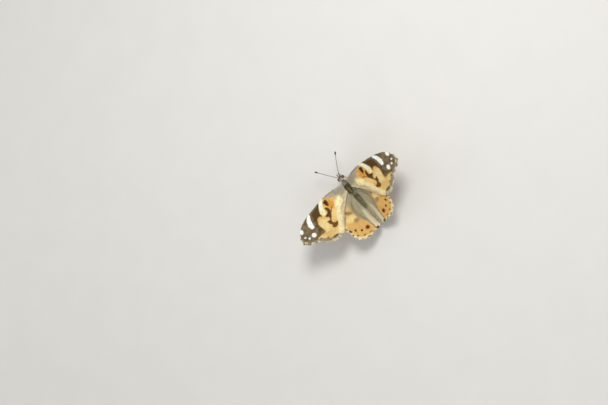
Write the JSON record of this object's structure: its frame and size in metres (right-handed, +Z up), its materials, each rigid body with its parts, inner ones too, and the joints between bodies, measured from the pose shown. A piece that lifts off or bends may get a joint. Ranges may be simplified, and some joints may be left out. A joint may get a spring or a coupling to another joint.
{
  "type": "painted lady butterfly",
  "caption": "Life-size painted lady butterfly standing at rest, scalloped orange, brown and white wings held open in a shallow V.",
  "frame": {"origin": "on the floor under the middle of the whole butterfly's box, at the level of the feet", "axes": "+Z up, -Y the way the head faces, +X to the butterfly's left, along the wingspan"},
  "size_m": [0.0622, 0.0426, 0.0208],
  "materials": {
    "body_hair": "dense dull hair over the thorax and head, olive to golden brown",
    "abdomen_hair": "short dull hair and scales, banded olive and buff",
    "tongue": "bare ringed chitin, satin brown",
    "eye": "faceted, glossy hazel brown",
    "palp_hair": "dull whitish scales and hair",
    "antenna": "satin dark brown chitin with a pale tip",
    "leg": "satin buff chitin with scales and spines",
    "wing_scales": "dull powdery scales, orange with dark and white marks"
  },
  "bodies": {
    "root": {"abdomen": "abdomen_hair", "antenna_left": "antenna", "antenna_right": "antenna", "eye_left": "eye", "eye_right": "eye", "foreleg_left": "leg", "foreleg_right": "leg", "forewing_left": "wing_scales", "forewing_right": "wing_scales", "head": "body_hair", "hindleg_femur_left": "leg", "hindleg_femur_right": "leg", "hindleg_tarsus_left": "leg", "hindleg_tarsus_right": "leg", "hindleg_tibia_left": "leg", "hindleg_tibia_right": "leg", "hindwing_left": "wing_scales", "hindwing_right": "wing_scales", "midleg_femur_left": "leg", "midleg_femur_right": "leg", "midleg_tarsus_left": "leg", "midleg_tarsus_right": "leg", "midleg_tibia_left": "leg", "midleg_tibia_right": "leg", "palp_left": "palp_hair", "palp_right": "palp_hair", "proboscis": "tongue", "thorax": "body_hair"}
  },
  "joints": []
}
